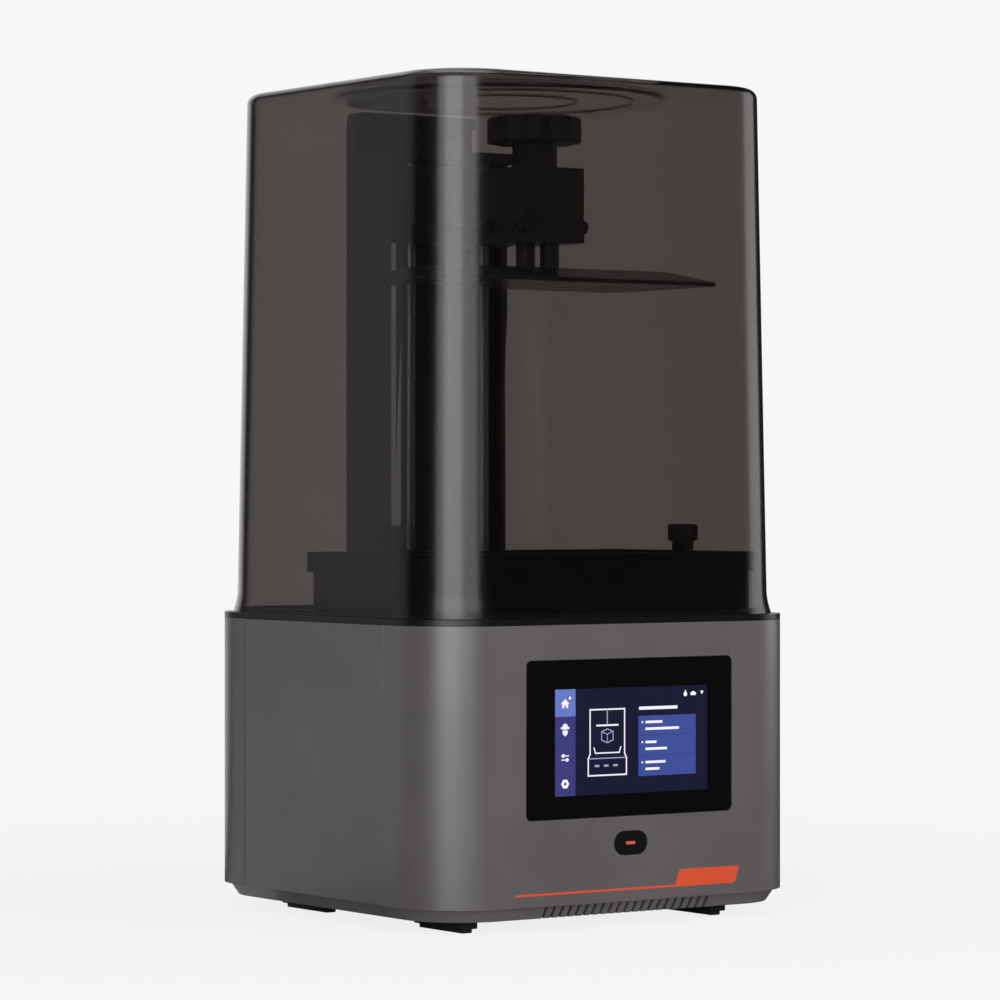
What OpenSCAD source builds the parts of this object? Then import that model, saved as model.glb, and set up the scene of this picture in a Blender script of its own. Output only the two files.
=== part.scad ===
// Desktop resin printer: a sheet-metal base with a touch screen, a smoked lift-off lid,
// and inside it a Z column that carries the build platform above the resin vat.
// Millimetres. X runs left to right, -Y is the front, Z is up; the feet stand on z = 0.

/* [Base] */
// Width of the base, side to side
base_w = 235; // [233:0.5:238]
// Depth of the base, front to back
base_d = 230; // [228:0.5:233]
// Plan radius of the base's four corners
base_r = 40; // [36:0.5:42]
// Height of the rubber feet under the base
foot_h = 6.5; // [6:0.1:8]
// Height of the chamfered tray below the covers
tray_h = 6.7; // [6:0.1:8]
// Height of the grey covers
cover_h = 140; // [136:0.2:142]
// Thickness of the black deck on top of the covers
deck_t = 3.2; // [2.5:0.1:4]
// Thickness of the sheet-metal covers
sheet_t = 1.5; // [1.2:0.1:1.8]
// Distance of the covers' seams from the middle of the side
seam_y = 66; // [60:1:70]
// Width of the gap at a seam
seam_gap = 0.4; // [0.2:0.1:0.6]

/* [Feet] */
// Middle of the left feet, across
foot_left_x = -85.5; // [-90:0.5:-78]
// Middle of the right feet, across
foot_right_x = 71; // [70:0.5:90]
// Middle of the front feet, along
foot_front_y = -74.3; // [-80:0.1:-70]
// Middle of the rear feet, along
foot_rear_y = 51; // [45:1:80]

/* [Vents] */
// Number of slots in the front edge of the tray
vent_count = 21; // [8:1:24]
// Distance between two slots
vent_pitch = 5.06; // [4.5:0.01:5.5]
// Width of one slot
vent_w = 1.8; // [1.5:0.1:3]

/* [Front panel] */
// Width of the black glass around the display
glass_w = 129.2; // [126:0.2:132]
// Height of the black glass
glass_h = 79.3; // [76:0.1:82]
// Height of the glass's middle above the ground
glass_z = 95.9; // [94:0.1:98]
// Width of the power button
button_w = 20.4; // [16:0.1:24]
// Height of the power button
button_h = 11.4; // [10:0.1:14]
// Height of the button's middle above the ground
button_z = 42.5; // [40:0.1:45]
// Travel of the power button
button_travel = 1; // [0.5:0.1:1.2]

/* [Lid] */
// Height of the top of the lid above the ground
lid_top = 430.4; // [430:0.1:440]
// Thickness of the lid's walls
lid_wall = 2.5; // [2:0.1:3]
// How far the lid's walls lean in by the top
lid_lean = 5; // [3:0.5:6]
// Height of the flare at the foot of the lid
flare_h = 12; // [8:1:15]
// Radius of the round recess in the lid's top
recess_r = 86.3; // [80:0.1:90]
// Depth of the round recess
recess_d = 2.5; // [1.5:0.1:2.6]

/* [Vat] */
// Half the width of the vat's rim
vat_half_w = 103.7; // [100:0.1:104]
// Front edge of the vat's rim
vat_front = -94; // [-95:0.5:-92]
// Back edge of the vat's rim
vat_back = 34.8; // [33:0.1:35]
// Height of the vat's rim above the ground
vat_top = 188.5; // [186:0.1:189]
// Thickness of the vat's rim
vat_rim_t = 10.2; // [8:0.1:12]
// Half the width of the well in the vat
well_half_w = 86.5; // [86:0.1:87]
// Half the depth of the well in the vat
well_half_d = 49; // [48.5:0.1:50]

/* [Platform] */
// Half the width of the build plate
plate_half_w = 84; // [80:0.1:84]
// Half the depth of the build plate
plate_half_d = 43.5; // [40:0.1:43.5]
// Middle of the plate, the vat's well and the exposure screen, along
optic_y = -33.5; // [-34:0.1:-33]
// Height of the underside of the build plate above the ground
plate_z = 327.2; // [320:0.1:328]
// Middle of the clamp knob, along
knob_y = -31; // [-32:0.5:-30]
// Diameter of the clamp knob
knob_d = 48.8; // [44:0.2:52]

/* [Z column] */
// Half the width of the column
column_half_w = 37.2; // [36.5:0.1:40]
// Front face of the column's rear box
column_y = 79.5; // [78:0.5:80]
// Depth of the column's rear box
column_d = 11.5; // [11:0.5:12]
// Top of the column's cap
column_top = 424; // [420:0.5:424.5]
// Distance of each guide rod from the middle
rod_x = 25; // [24:0.5:26]
// Distance of the rods and the lead screw from the middle, along
rod_y = 52; // [51:0.5:53]
// Diameter of the guide rods and of the lead screw
rod_d = 8; // [8:0.5:9]

/* [Hidden] */
$fn = 64;

grey = [0.34, 0.33, 0.33];
dark = [0.12, 0.12, 0.13];
black = [0.05, 0.05, 0.06];
steel = [0.72, 0.73, 0.75];
brass = [0.80, 0.65, 0.30];
green = [0.10, 0.35, 0.18];
orange = [0.90, 0.27, 0.08];
rubber = [0.03, 0.03, 0.03];
smoke = [0.30, 0.27, 0.25, 0.45];

half_w = base_w / 2;
half_d = base_d / 2;
cover_z = foot_h + tray_h;
deck_z = cover_z + cover_h;
deck_top = deck_z + deck_t;
inner_front = -half_d + sheet_t;
inner_rear = half_d - sheet_t;
joint_gap = 0.2;
fit_gap = 0.06;

// line and tab on the front cover
stripe_left = -72.2;
stripe_z = 18.75;
stripe_t = 1.1;
tab_top = 27.5;
tab_round = 1.6;

// light in the power button
light_half_w = 2.75;
light_half_h = 0.75;

// tray: how far its outline lies inside the covers at its top and at its bottom
tray_inset_top = 3;
tray_inset_bottom = 7.5;
tray_t = 2;
floor_z = foot_h + tray_t;
vent_middle = 1.2;

// lid: plan insets from the base's outline, and the centre of its corner arcs
lid_z = deck_top + joint_gap;
lid_corner = 45.7;
flare_inset_low = 2.4;
flare_inset_high = 4.7;
lid_inset_top = flare_inset_high + lid_lean;
lid_edge_r = 5.5;
lid_top_t = 2.5;

// exposure stack on the deck
lcd_half_w = 83;
lcd_half_d = 47;
lcd_t = 1.1;
lcd_glass_t = 0.8;
ring_w = 4.2;
ring_t = 2;
film_t = 0.2;
ring_z = deck_top;
film_z = ring_z + ring_t;
film_screw_r = 1;

// vat thumbscrews
thumb_x = 93.5;
thumb_y = -36;
thumb_head_r = 8;
thumb_stem_r = 5.8;
thumb_shank_r = 2;

// light engine under the deck
hood_half_w = 87;
hood_half_d = 52;
hood_z = 66;
led_t = 1.6;
heatsink_z = 30;

// column
box_wall = 2;
cap_h = 5.8;
cap_front = 74.5;
frame_y = 46.7;
frame_t = 3;
bearing_top = 402;
bearing_front = 36.7;
bearing_t = 6;
block_top = 176;
rod_r = rod_d / 2;
bearing_r = rod_r + 4;
screw_top = 408;
screw_low = 141;
screw_pitch_z = 60;
first_screw_z = 206.6;
motor_w = 42.3;
motor_top = 117;
motor_h = 40;

// platform
platform_w = 37;
head_z = 349;
head_top = 362;
arm_top = 388;
neck_r = 11.7;
knob_z = 401;
knob_top = 415;
carriage_z = 352;
carriage_top = 393;
carriage_half_w = 33.7;
carriage_front = 38;
carriage_back = 66;
bushing_r = 7.5;
nut_r = 5;
nut_flange_r = 11;
arm_half_w = 15;
arm_plate_t = 5;
tongue_y = knob_y - 12;
tongue_half_w = 10;
tongue_z = 366;
tongue_top = 378;
edge_t = 2.2;
plateau_z = 335.4;
plateau_half_w = 67;
plateau_half_d = 22;
post_r = 5;
post_x = 7.7;

// fan in the rear cover
fan_x = 45;
fan_z = 75;
fan_half = 30;
fan_t = 15;
fan_r = 28.5;
hub_r = 11;
stub_r = 1.5;

// sockets
inlet_x = -70;
inlet_z = 42;
inlet_r = 3;
usb_y = -40;
usb_z = 24;

// Flat outline with round corners, centred
module round_rect(w, d, r) {
    square([w - 2 * r, d], center = true);
    square([w, d - 2 * r], center = true);
    for (sx = [-1, 1], sy = [-1, 1])
        translate([sx * (w / 2 - r), sy * (d / 2 - r)]) circle(r);
}

// Outline of the base, moved inwards by an inset
module base_outline(inset) {
    round_rect(base_w - 2 * inset, base_d - 2 * inset, base_r - inset);
}

// Solid of the base's plan whose side follows [inset, height] points from bottom to top
module profiled_solid(profile, corner) {
    last = len(profile) - 1;
    cx = half_w - corner;
    cy = half_d - corner;
    corner_line = concat(
        [[0, profile[0][1]]],
        [for (p = profile) [corner - p[0], p[1]]],
        [[0, profile[last][1]]]);
    for (k = [0:3])
        translate([(k == 0 || k == 3 ? 1 : -1) * cx, (k < 2 ? 1 : -1) * cy, 0])
            rotate([0, 0, 90 * k]) rotate_extrude(angle = 90) polygon(corner_line);
    rotate([90, 0, 90]) translate([0, 0, -cx]) linear_extrude(2 * cx)
        polygon(concat(
            [for (p = profile) [half_d - p[0], p[1]]],
            [for (i = [last:-1:0]) [-(half_d - profile[i][0]), profile[i][1]]]));
    rotate([90, 0, 0]) translate([0, 0, -cy]) linear_extrude(2 * cy)
        polygon(concat(
            [for (p = profile) [half_w - p[0], p[1]]],
            [for (i = [last:-1:0]) [-(half_w - profile[i][0]), profile[i][1]]]));
}

// Box given by its lowest and highest corners
module block(low, high) {
    translate(low) cube(high - low);
}

// Round bar or hole along Y from y0 to y1
module bar_y(x, z, r, y0, y1) {
    translate([x, y0, z]) rotate([-90, 0, 0]) cylinder(h = y1 - y0, r = r);
}

// Round bar or hole along Z from z0 to z1
module bar_z(x, y, r, z0, z1) {
    translate([x, y, z0]) cylinder(h = z1 - z0, r = r);
}

// Flat shape drawn in X and Z, given a thickness along Y from y0 to y1
module front_extrude(y0, y1) {
    translate([0, y1, 0]) rotate([90, 0, 0]) linear_extrude(y1 - y0) children();
}

// ---- Base ----

// Sheet wall around the base between two heights
module cover_wall() {
    translate([0, 0, cover_z]) linear_extrude(cover_h) difference() {
        base_outline(0);
        base_outline(sheet_t);
    }
}

// Inward lip along the bottom of the covers, which rests on the tray
module cover_lip() {
    translate([0, 0, cover_z]) linear_extrude(sheet_t) difference() {
        base_outline(sheet_t / 2);
        base_outline(9);
    }
}

// End cover wrapped around two corners: side is -1 for the front and 1 for the rear
module end_cover(side) {
    keep = half_d - seam_y - seam_gap / 2;
    intersection() {
        union() {
            cover_wall();
            cover_lip();
        }
        translate([-half_w - 1, side > 0 ? half_d - keep : -half_d - 1, 0])
            cube([base_w + 2, keep + 1, deck_z + 1]);
    }
    for (sx = [-1, 1]) cover_flange(sx, side);
}

// Upright flange that backs a seam: sx picks left or right, side picks front or rear
module cover_flange(sx, side) {
    x0 = half_w - sheet_t - 1.4;
    low = side * (seam_y + 9);
    mid = side * (seam_y + seam_gap);
    high = side * (seam_y - 9);
    block([min(sx * x0, sx * (x0 + 1.6)), min(low, mid), cover_z + 4],
          [max(sx * x0, sx * (x0 + 1.6)), max(low, mid), deck_z - 4]);
    block([min(sx * x0, sx * (x0 + 1.38)), min(mid, high), cover_z + 4],
          [max(sx * x0, sx * (x0 + 1.38)), max(mid, high), deck_z - 4]);
}

// Points that round corner b of the line a, b, c: a quadratic curve that leaves it at a reach from b
function rounded(a, b, c, reach) =
    let (start = b + (a - b) / norm(a - b) * reach, end = b + (c - b) / norm(c - b) * reach)
    [for (t = [0:0.25:1]) (1 - t) * (1 - t) * start + 2 * t * (1 - t) * b + t * t * end];

// Outline of the thin line and its slanted tab on the front
module stripe_shape() {
    low_left = [28, stripe_z];
    low_right = [66.6, stripe_z];
    high_right = [69.8, tab_top];
    high_left = [31, tab_top];
    polygon(concat(
        [[stripe_left, stripe_z], low_left],
        rounded(low_left, low_right, high_right, tab_round),
        rounded(low_right, high_right, high_left, tab_round),
        rounded(high_right, high_left, low_left, tab_round),
        [[28.4, stripe_z + stripe_t], [stripe_left + 2.5, stripe_z + stripe_t]]));
}

module front_cover() color(grey) difference() {
    end_cover(-1);
    translate([0, 0, glass_z]) front_extrude(-half_d - 1, inner_front + 1)
        round_rect(glass_w + 0.5, glass_h + 0.5, 3.2);
    translate([0, 0, button_z]) front_extrude(-half_d - 1, inner_front + 1)
        round_rect(button_w + 0.8, button_h + 0.8, button_h / 2 + 0.38);
    front_extrude(-half_d - 1, -half_d + 0.3) stripe_shape();
}

module rear_cover() color(grey) difference() {
    end_cover(1);
    for (k = [-5:5])
        block([fan_x + k * 5 - 1.25, inner_rear - 1, fan_z - sqrt(pow(fan_r, 2) - pow(k * 5, 2)) + 1],
              [fan_x + k * 5 + 1.25, half_d + 1, fan_z + sqrt(pow(fan_r, 2) - pow(k * 5, 2)) - 1]);
    bar_y(inlet_x, inlet_z, 5.6, inner_rear - 1, half_d + 1);
}

// Flat panel between the two end covers: side is -1 for the left and 1 for the right
module side_panel(side) {
    half = seam_y - seam_gap / 2;
    x0 = side > 0 ? half_w - sheet_t : -half_w;
    block([x0, -half, cover_z], [x0 + sheet_t, half, deck_z]);
}

module side_panel_left() color(grey) side_panel(-1);

module side_panel_right() color(grey) difference() {
    side_panel(1);
    block([half_w - 5, usb_y - 7, usb_z - 3.5], [half_w + 1, usb_y + 7, usb_z + 3.5]);
}

module bottom_tray() color(dark) difference() {
    profiled_solid([[tray_inset_bottom, foot_h], [tray_inset_top, cover_z]], base_r);
    profiled_solid([[tray_inset_bottom + tray_t, floor_z],
                    [tray_inset_top + tray_t, cover_z + 0.01]], base_r);
    vent_slots();
}

// Upright slots through the front edge of the tray, open at the bottom
module vent_slots()
    for (k = [0:vent_count - 1]) {
        x = vent_middle + (k - (vent_count - 1) / 2) * vent_pitch;
        block([x - vent_w / 2, -half_d - 1, foot_h - 1], [x + vent_w / 2, -half_d + 12, cover_z - 0.8]);
    }

module rubber_feet() color(rubber)
    for (x = [foot_left_x, foot_right_x], y = [foot_front_y, foot_rear_y]) {
        block([x - 4.8, y - 21.5, 2.2], [x + 4.8, y + 21.5, foot_h]);
        block([x - 3, y - 19.3, 0], [x + 3, y + 19.3, 2.3]);
    }

// Places of the four pillars that carry the deck
pillar_places = [for (sx = [-1, 1], back = [false, true]) back ? [sx * 97, 90] : [sx * 85, -99.5]];

module chassis_pillars() color(steel)
    for (p = pillar_places) difference() {
        bar_z(p[0], p[1], 5, floor_z, deck_z);
        bar_z(p[0], p[1], 2, deck_z - 12, deck_z + 1);
    }

module deck_plate() color(black) difference() {
    union() {
        translate([0, 0, deck_z]) linear_extrude(deck_t) base_outline(0);
        translate([0, 0, deck_top - 0.5]) linear_extrude(2.6) difference() {
            base_outline(8.2);
            base_outline(9.7);
        }
    }
    block([-78, optic_y - 43, deck_z - 1], [78, optic_y + 43, deck_top + 1]);
    for (p = pillar_places) bar_z(p[0], p[1], 2, deck_z - 1, deck_top + 1);
    for (sx = [-1, 1]) bar_z(sx * thumb_x, thumb_y, thumb_shank_r + fit_gap, deck_z - 1, deck_top + 1);
    bar_z(0, rod_y, 12, deck_z - 1, deck_top + 1);
}

module deck_screws() color(steel)
    for (p = pillar_places) {
        bar_z(p[0], p[1], 2, deck_z - 8, deck_top + 0.1);
        difference() {
            bar_z(p[0], p[1], 3.6, deck_top, deck_top + 2.2);
            translate([p[0], p[1], deck_top + 0.9]) cylinder(h = 2, r = 1.5, $fn = 6);
        }
    }

module accent_stripe() color(orange) front_extrude(-half_d, -half_d + 0.3) stripe_shape();

// ---- Screen and button ----

module screen_glass() color(black)
    translate([0, 0, glass_z]) front_extrude(-half_d + 0.2, inner_front) round_rect(glass_w, glass_h, 3);

// Height of the lit display's middle
display_z = 94.3;

module display_bracket() color(steel)
    front_extrude(inner_front, inner_front + 1.6) difference() {
        translate([0, glass_z]) round_rect(glass_w + 16, glass_h + 8, 4);
        translate([0, display_z]) square([111, 68], center = true);
    }

module display_panel() color(dark)
    translate([0, 0, display_z]) front_extrude(inner_front, inner_front + 3) square([108, 65], center = true);

module display_board() color(green) {
    front = inner_front + 3;
    translate([0, 0, display_z]) front_extrude(front, front + 1.6) square([100, 58], center = true);
    block([-30, front + 1.5, display_z - 10], [-6, front + 4, display_z + 10]);
    block([14, front + 1.5, display_z - 24], [38, front + 6, display_z - 16]);
}

// Pill-shaped cap with a wider flange behind the cover and a slot for the light
module power_button() color(black) difference() {
    translate([0, 0, button_z]) union() {
        front_extrude(-half_d, inner_front + 1.2) round_rect(button_w, button_h, button_h / 2 - 0.02);
        front_extrude(inner_front + 0.3, inner_front + 1.3) round_rect(button_w + 5, button_h + 5, 5);
    }
    block([-light_half_w, -half_d - 1, button_z - light_half_h],
          [light_half_w, inner_front + 0.5, button_z + light_half_h]);
}

module button_light() color(orange)
    block([-light_half_w, -half_d, button_z - light_half_h],
          [light_half_w, inner_front + 0.5, button_z + light_half_h]);

switch_y = inner_front + 1.3 + button_travel + 0.3;

module button_switch() color(dark) {
    bar_y(0, button_z, 1.7, switch_y, switch_y + 1.1);
    block([-3, switch_y + 1, button_z - 3], [3, switch_y + 3, button_z + 3]);
}

module button_board() color(green)
    block([-22, switch_y + 3, button_z - 7], [22, switch_y + 4.6, button_z + 7]);

// ---- Electronics in the base ----

board_low = [-15, 34, 16];
board_high = [88, 100, 17.6];

module mainboard() color(green) {
    block(board_low, board_high);
    block([20, 50, 17.5], [44, 74, 27]);
    block([50, 40, 17.5], [58, 60, 29]);
    block([-8, 44, 17.5], [6, 58, 20]);
    for (k = [0:3]) block([-6 + 14 * k, 92, 17.5], [4 + 14 * k, 99, 26]);
    for (k = [0:2]) bar_z(76, 46 + 12 * k, 4.5, 17.5, 31);
}

module board_standoffs() color(brass) {
    for (x = [board_low[0] + 5, board_high[0] - 5], y = [board_low[1] + 5, board_high[1] - 5])
        bar_z(x, y, 2.5, floor_z, board_low[2]);
    for (sx = [-1, 1]) bar_y(sx * 18.5, button_z, 2.5, inner_front, switch_y + 3);
    bar_z(usb_board_x, usb_y, 2.5, floor_z, usb_z - 4.9);
}

usb_board_x = half_w - 20;

module usb_board() color(green)
    block([usb_board_x - 9, usb_y - 10, usb_z - 4.9], [half_w - sheet_t - 1.6, usb_y + 10, usb_z - 3.3]);

module usb_port() color(steel) {
    back = half_w - 16;
    difference() {
        block([back, usb_y - 6.6, usb_z - 3.3], [half_w - 0.2, usb_y + 6.6, usb_z + 3.1]);
        block([back + 0.6, usb_y - 6.1, usb_z - 2.7], [half_w + 1, usb_y + 6.1, usb_z + 2.5]);
    }
    block([back + 0.5, usb_y - 5.4, usb_z + 0.3], [half_w - 2, usb_y + 5.4, usb_z + 2.2]);
}

module dc_inlet() color(black) {
    difference() {
        union() {
            bar_y(inlet_x, inlet_z, 5.5, inner_rear - 12, half_d);
            bar_y(inlet_x, inlet_z, 8, inner_rear - 3, inner_rear);
        }
        bar_y(inlet_x, inlet_z, inlet_r, inner_rear - 8, half_d + 1);
    }
    bar_y(inlet_x, inlet_z, 1.2, inner_rear - 8.5, half_d - 1);
}

fan_y = inner_rear - fan_t;

module fan_frame() color(black) {
    difference() {
        translate([fan_x, 0, fan_z]) front_extrude(fan_y, inner_rear) round_rect(2 * fan_half, 2 * fan_half, 4);
        bar_y(fan_x, fan_z, fan_r, fan_y - 1, inner_rear + 1);
    }
    bar_y(fan_x, fan_z, hub_r, fan_y, fan_y + 2);
    bar_y(fan_x, fan_z, stub_r, fan_y + 1, fan_y + 11);
    for (k = [0:3]) translate([fan_x, 0, fan_z]) rotate([0, 45 + 90 * k, 0])
        block([hub_r - 1, fan_y, -1.5], [fan_r + 0.5, fan_y + 2, 1.5]);
}

module fan_rotor() color(dark) {
    difference() {
        bar_y(fan_x, fan_z, hub_r, fan_y + 2.5, inner_rear - 1.2);
        bar_y(fan_x, fan_z, stub_r + fit_gap, fan_y + 2, fan_y + 11.3);
    }
    for (k = [0:6]) translate([fan_x, fan_y + 8, fan_z]) rotate([0, k * 360 / 7, 0])
        translate([hub_r - 0.5, 0, 0]) rotate([35, 0, 0]) translate([0, -0.6, -7]) cube([16, 1.2, 14]);
}

// ---- Light engine ----

module led_board() color(green)
    block([-hood_half_w, optic_y - hood_half_d, hood_z - led_t], [hood_half_w, optic_y + hood_half_d, hood_z]);

module led_array() color([0.95, 0.95, 0.8])
    for (i = [0:6], j = [0:3])
        bar_z((i - 3) * 22, optic_y + (j - 1.5) * 22, 3.5, hood_z, hood_z + 3);

module heatsink() color(steel) {
    top = hood_z - led_t;
    block([-80, optic_y - 44, top - 5], [80, optic_y + 44, top]);
    for (k = [0:13]) block([-79 + 12 * k, optic_y - 44, heatsink_z], [-77 + 12 * k, optic_y + 44, top - 4.9]);
}

module light_hood() color(steel)
    difference() {
        block([-hood_half_w, optic_y - hood_half_d, hood_z], [hood_half_w, optic_y + hood_half_d, deck_z]);
        block([-hood_half_w + 1.5, optic_y - hood_half_d + 1.5, hood_z - 1],
              [hood_half_w - 1.5, optic_y + hood_half_d - 1.5, deck_z + 1]);
    }

module fresnel_lens() color([0.8, 0.85, 0.9, 0.5])
    block([-hood_half_w + 1.5, optic_y - hood_half_d + 1.5, 118],
          [hood_half_w - 1.5, optic_y + hood_half_d - 1.5, 120]);

module exposure_lcd() color([0.10, 0.11, 0.14])
    block([-lcd_half_w, optic_y - lcd_half_d, deck_top], [lcd_half_w, optic_y + lcd_half_d, deck_top + lcd_t]);

module lcd_cover_glass() color([0.15, 0.16, 0.20])
    block([-lcd_half_w, optic_y - lcd_half_d, deck_top + lcd_t],
          [lcd_half_w, optic_y + lcd_half_d, deck_top + lcd_t + lcd_glass_t]);

// ---- Vat ----

ring_half_w = well_half_w + ring_w;
ring_half_d = well_half_d + ring_w;
well_r = 8;

// Outline of the well, moved outwards by a margin
module well_outline(margin) {
    translate([0, optic_y]) round_rect(2 * (well_half_w + margin), 2 * (well_half_d + margin), well_r + margin);
}

// Places of the screws that hold the film's ring
film_screw_places = concat(
    [for (i = [-3:3], s = [-1, 1]) [i * 24, optic_y + s * (well_half_d + ring_w / 2)]],
    [for (j = [-1:1], s = [-1, 1]) if (j != 0) [s * (well_half_w + ring_w / 2), optic_y + j * 24]]);

// Holes of the film's screws between two heights
module film_screw_holes(z0, z1) {
    for (p = film_screw_places) bar_z(p[0], p[1], film_screw_r, z0, z1);
}

// Outline of the vat between its sides, moved inwards by an inset
module vat_outline(inset) {
    depth = vat_back - vat_front;
    translate([0, (vat_back + vat_front) / 2])
        round_rect(2 * (vat_half_w - inset), depth - 2 * inset, 13 - inset);
}

module vat_frame() color(black) difference() {
    union() {
        translate([0, 0, deck_top]) linear_extrude(vat_top - vat_rim_t - deck_top + 0.1) vat_outline(3.3);
        translate([0, 0, vat_top - vat_rim_t]) linear_extrude(vat_rim_t) vat_outline(0);
    }
    translate([0, 0, deck_top - 1]) linear_extrude(vat_top) well_outline(0);
    translate([0, 0, vat_top - 3]) linear_extrude(4) well_outline(2.5);
    translate([0, 0, deck_top - 1]) linear_extrude(ring_t + film_t + 1) well_outline(ring_w + 0.1);
    film_screw_holes(film_z, film_z + 6);
    for (sx = [-1, 1]) bar_z(sx * thumb_x, thumb_y, thumb_shank_r + 0.3, deck_top - 1, vat_top + 1);
}

module film_clamp_ring() color(steel) difference() {
    translate([0, 0, ring_z]) linear_extrude(ring_t) difference() {
        well_outline(ring_w);
        well_outline(0);
    }
    film_screw_holes(ring_z - 1, film_z + 1);
}

module vat_film() color([0.85, 0.9, 0.95, 0.4]) difference() {
    translate([0, 0, film_z]) linear_extrude(film_t) well_outline(ring_w);
    film_screw_holes(film_z - 1, film_z + 1);
}

module film_screws() color(steel) film_screw_holes(ring_z + 0.2, film_z + 5);

// Knurled head on a stem, with a shank down through the vat into the deck
module thumbscrew(x) {
    head_z = vat_top + 5.1;
    difference() {
        bar_z(x, thumb_y, thumb_head_r, head_z, head_z + 9);
        for (k = [0:17]) translate([x, thumb_y, head_z - 1]) rotate([0, 0, k * 20])
            translate([thumb_head_r + 0.35, 0, 0]) cylinder(h = 8.5, r = 0.8);
    }
    bar_z(x, thumb_y, thumb_stem_r, vat_top + 0.3, head_z + 0.5);
    bar_z(x, thumb_y, thumb_shank_r, deck_z - 4, vat_top + 1);
}

module vat_thumbscrew_left() color(black) thumbscrew(-thumb_x);
module vat_thumbscrew_right() color(black) thumbscrew(thumb_x);

// ---- Z column ----

module column_housing() color(black) difference() {
    block([-column_half_w, column_y, deck_top], [column_half_w, column_y + column_d, column_top - cap_h]);
    block([-column_half_w + box_wall, column_y + box_wall, deck_top - 1],
          [column_half_w - box_wall, column_y + column_d - box_wall, column_top - cap_h - box_wall]);
    for (k = [0:3]) bar_y(0, first_screw_z + k * screw_pitch_z, 1.5, column_y - 1, column_y + box_wall + 1);
}

// Cap that stands out over the front of the rear box
module column_cap() color(black) {
    cap_back = column_y + column_d;
    cap_d = cap_back - cap_front;
    translate([0, cap_back - cap_d / 2, column_top - cap_h]) {
        linear_extrude(cap_h - 1) round_rect(2 * column_half_w, cap_d, 1.5);
        translate([0, 0, cap_h - 1.01]) linear_extrude(1.01) round_rect(2 * column_half_w - 1.4, cap_d - 1.4, 1.5);
    }
}

module column_screws() color(dark)
    for (k = [0:3]) {
        bar_y(0, first_screw_z + k * screw_pitch_z, 1.5, column_y - 0.1, column_y + box_wall);
        bar_y(0, first_screw_z + k * screw_pitch_z, 3.2, column_y - 2.2, column_y);
    }

module guide_side_plates() color(dark)
    for (sx = [-1, 1]) {
        x0 = sx > 0 ? column_half_w - frame_t : -column_half_w;
        block([x0, frame_y, deck_top], [x0 + frame_t, column_y, bearing_top]);
    }

// Block between the side plates with seats for both rods and a bearing
module bearing_body(z0, z1) {
    inner = column_half_w - frame_t;
    difference() {
        block([-inner, bearing_front, z0], [inner, column_y, z1]);
        for (sx = [-1, 1]) bar_z(sx * rod_x, rod_y, rod_r, z0 - 1, z1 + 1);
        bar_z(0, rod_y, rod_r + 1.5, z0 - 1, z1 + 1);
        bar_z(0, rod_y, bearing_r, z1 - 5, z1 + 1);
    }
}

module top_bearing_plate() color(dark) bearing_body(bearing_top - bearing_t, bearing_top);

module bottom_bearing_block() color(dark) bearing_body(deck_top, block_top);

module screw_bearings() color(steel)
    for (top = [block_top, bearing_top]) difference() {
        bar_z(0, rod_y, bearing_r, top - 5, top);
        bar_z(0, rod_y, rod_r + fit_gap, top - 6, top + 1);
    }

module guide_rods() color(steel)
    for (sx = [-1, 1]) bar_z(sx * rod_x, rod_y, rod_r, deck_top, bearing_top);

// Places of the motor's four screws
motor_screw_x = 15.5;

module motor_bracket() color(steel) {
    difference() {
        block([-30, rod_y - 21, motor_top], [30, rod_y + 21, motor_top + 3]);
        bar_z(0, rod_y, 11.2, motor_top - 1, motor_top + 4);
        for (sx = [-1, 1], sy = [-1, 1])
            bar_z(sx * motor_screw_x, rod_y + sy * motor_screw_x, 1.6, motor_top - 1, motor_top + 4);
    }
    for (sx = [-1, 1])
        block([min(sx * 27, sx * 30), rod_y - 21, motor_top + 2.9], [max(sx * 27, sx * 30), rod_y + 21, deck_z]);
}

module z_motor() color(black) difference() {
    union() {
        translate([0, rod_y, motor_top - motor_h]) linear_extrude(motor_h) round_rect(motor_w, motor_w, 4);
        bar_z(0, rod_y, 11, motor_top - 1, motor_top + 2);
    }
    bar_z(0, rod_y, 2.5 + fit_gap, motor_top - 20, motor_top + 3);
    for (sx = [-1, 1], sy = [-1, 1])
        bar_z(sx * motor_screw_x, rod_y + sy * motor_screw_x, 1.5, motor_top - 5, motor_top + 1);
}

module z_limit_sensor() color(black) difference() {
    block([25, 68.3, 183], [column_half_w - frame_t, column_y, 193]);
    block([28.2, 67, 182], [31.8, 73, 194]);
}

// Screw with a smooth journal that runs on into the motor as its shaft
module lead_screw() color(steel) {
    bar_z(0, rod_y, rod_r, screw_low, screw_top);
    bar_z(0, rod_y, 2.5, motor_top - 19, screw_low + 0.1);
}

module shaft_coupler() color(steel) difference() {
    bar_z(0, rod_y, 9.5, screw_low - 13, screw_low + 11);
    bar_z(0, rod_y, rod_r, screw_low - 0.01, screw_low + 12);
    bar_z(0, rod_y, 2.5, screw_low - 14, screw_low + 1);
}

// ---- Carriage and platform ----

module carriage_block() color(black) difference() {
    union() {
        block([-carriage_half_w, carriage_front, carriage_z], [carriage_half_w, carriage_back, carriage_top]);
        block([29.5, carriage_back - 0.1, carriage_z], [30.5, 72, carriage_z + 10]);
    }
    for (sx = [-1, 1]) bar_z(sx * rod_x, rod_y, bushing_r, carriage_z - 1, carriage_top + 1);
    bar_z(0, rod_y, nut_r, carriage_z - 1, carriage_top + 1);
}

module guide_bushings() color(steel)
    for (sx = [-1, 1]) difference() {
        bar_z(sx * rod_x, rod_y, bushing_r, carriage_z, carriage_top);
        bar_z(sx * rod_x, rod_y, rod_r + fit_gap, carriage_z - 1, carriage_top + 1);
    }

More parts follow.
